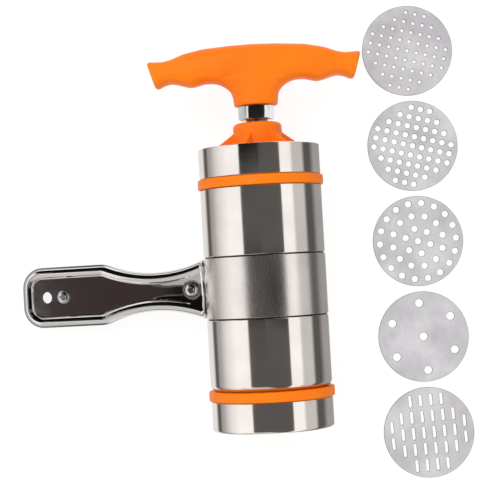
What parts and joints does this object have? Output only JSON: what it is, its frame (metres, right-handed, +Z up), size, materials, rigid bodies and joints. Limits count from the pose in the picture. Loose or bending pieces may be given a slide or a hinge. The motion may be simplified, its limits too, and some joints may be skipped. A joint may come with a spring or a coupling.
{
  "type": "food press",
  "caption": "Hand press for dough and fruit, lying down: steel barrel with screw caps, T grip on a threaded spindle, piston, side handle and loose perforated dies.",
  "frame": {"origin": "centre of the footprint on the table the press and its dies lie on", "axes": "+Y along the barrel from the outlet to the T grip, +Z up from the table, +X toward the row of dies; the side handle points to -X"},
  "size_m": [0.2494, 0.2674, 0.0682],
  "materials": {
    "polished_steel": "mirror-polished stainless steel sheet",
    "satin_steel": "stainless steel with a fine satin grain",
    "drawn_steel": "stainless steel tube, drawn, with a light bore polish",
    "die_steel": "punched stainless steel sheet, tumbled",
    "handle_steel": "pressed and polished stainless steel sheet",
    "screw_steel": "rolled trapezoidal thread on bright steel bar",
    "plated_fastener": "bright zinc plate on steel",
    "orange_plastic": "orange moulded polypropylene with a soft gloss",
    "jacket_plastic": "black moulded plastic",
    "silicone": "translucent white silicone",
    "nut_brass": "turned brass"
  },
  "bodies": {
    "barrel": {"upper_collar": "orange_plastic", "upper_sleeve": "polished_steel", "inner_jacket": "jacket_plastic", "dough_cylinder": "drawn_steel", "clamp_band": "satin_steel", "handle_front": "handle_steel", "handle_back": "handle_steel", "root_screw": "plated_fastener", "tip_screw": "plated_fastener", "handle_nuts": "plated_fastener", "lower_sleeve": "polished_steel", "lower_collar": "orange_plastic"},
    "upper_seal": {"top_gasket": "silicone"},
    "top_cap": {"cap_core": "orange_plastic", "top_cap_shell": "polished_steel", "drive_nut": "nut_brass", "nut_retainer": "satin_steel"},
    "piston": {"piston_body": "orange_plastic", "piston_seal": "silicone"},
    "screw": {"spindle": "screw_steel", "t_grip": "orange_plastic", "jam_nut": "plated_fastener", "thrust_washer": "satin_steel", "piston_washer": "satin_steel", "piston_screw": "plated_fastener"},
    "lower_seal": {"bottom_gasket": "silicone"},
    "bottom_cap": {"bottom_cap_core": "orange_plastic", "bottom_cap_shell": "polished_steel"},
    "fine_die": {"die_fine": "die_steel"},
    "medium_die": {"die_medium": "die_steel"},
    "ringed_die": {"die_ringed": "die_steel"},
    "seven_hole_die": {"die_seven_hole": "die_steel"},
    "slotted_die": {"die_slotted": "die_steel"}
  },
  "joints": [
    {"name": "top_cap_rise", "type": "slide", "parent": "barrel", "child": "upper_seal", "axis": [0, 1, 0], "range_m": [0, 0.0322]},
    {"name": "top_cap_turn", "type": "hinge", "parent": "upper_seal", "child": "top_cap", "pos_m": [0.01162, 0.0524, 0.0341], "axis": [0, 1, 0], "range_deg": [0, 2880]},
    {"name": "piston_rise", "type": "slide", "parent": "top_cap", "child": "piston", "axis": [0, 1, 0], "range_m": [0, 0.1172]},
    {"name": "grip_turn", "type": "hinge", "parent": "piston", "child": "screw", "pos_m": [0.01162, 0.0024, 0.0341], "axis": [0, 1, 0], "range_deg": [0, 14040]},
    {"name": "bottom_cap_drop", "type": "slide", "parent": "barrel", "child": "lower_seal", "axis": [0, -1, 0], "range_m": [0, 0.0202]},
    {"name": "bottom_cap_turn", "type": "hinge", "parent": "lower_seal", "child": "bottom_cap", "pos_m": [0.01162, -0.0896, 0.0341], "axis": [0, -1, 0], "range_deg": [0, 1800]},
    {"name": "fine_die_lift", "type": "slide", "parent": "barrel", "child": "fine_die", "axis": [0, 0, 1], "range_m": [0, 0.06]},
    {"name": "medium_die_lift", "type": "slide", "parent": "barrel", "child": "medium_die", "axis": [0, 0, 1], "range_m": [0, 0.06]},
    {"name": "ringed_die_lift", "type": "slide", "parent": "barrel", "child": "ringed_die", "axis": [0, 0, 1], "range_m": [0, 0.06]},
    {"name": "seven_hole_die_lift", "type": "slide", "parent": "barrel", "child": "seven_hole_die", "axis": [0, 0, 1], "range_m": [0, 0.06]},
    {"name": "slotted_die_lift", "type": "slide", "parent": "barrel", "child": "slotted_die", "axis": [0, 0, 1], "range_m": [0, 0.06]}
  ],
  "couplings": [
    {"joint": "top_cap_rise", "follows": "top_cap_turn", "m_per_rad": 0.00063662},
    {"joint": "piston_rise", "follows": "grip_turn", "m_per_rad": 0.00047746},
    {"joint": "bottom_cap_drop", "follows": "bottom_cap_turn", "m_per_rad": 0.00063662}
  ]
}
